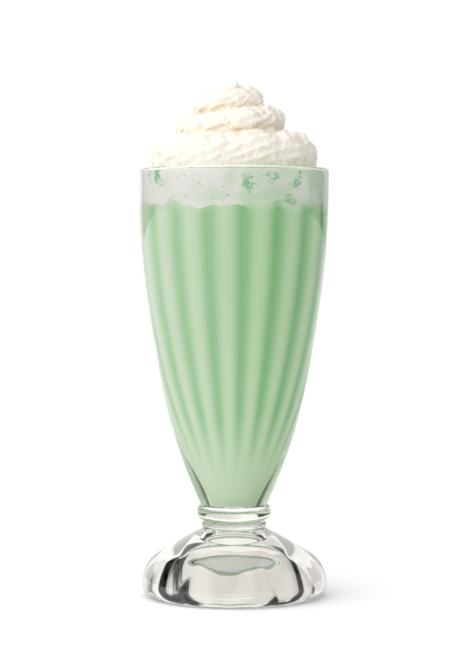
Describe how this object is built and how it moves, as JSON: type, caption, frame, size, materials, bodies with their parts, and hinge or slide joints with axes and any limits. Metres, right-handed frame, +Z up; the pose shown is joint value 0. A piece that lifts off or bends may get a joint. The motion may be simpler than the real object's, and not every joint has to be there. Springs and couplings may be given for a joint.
{
  "type": "milkshake",
  "caption": "Mint milkshake in a tall footed soda fountain glass with flutes inside, topped with pale froth and a piped heap of whipped cream.",
  "frame": {"origin": "centre of the foot's ring, on the surface that the glass stands on", "axes": "+Z up along the glass's axis, -Y towards the viewer of the front, +X to that viewer's right"},
  "size_m": [0.086, 0.086, 0.2327],
  "materials": {
    "clear_glass": "fire-polished clear pressed glass",
    "mint_shake": "opaque thick liquid, wet where it meets the glass",
    "pale_froth": "fine pale froth with small bubbles",
    "cream": "soft satin whipped cream"
  },
  "bodies": {
    "root": {"glass": "clear_glass", "shake": "mint_shake", "froth": "pale_froth", "whipped_cream": "cream"}
  },
  "joints": []
}
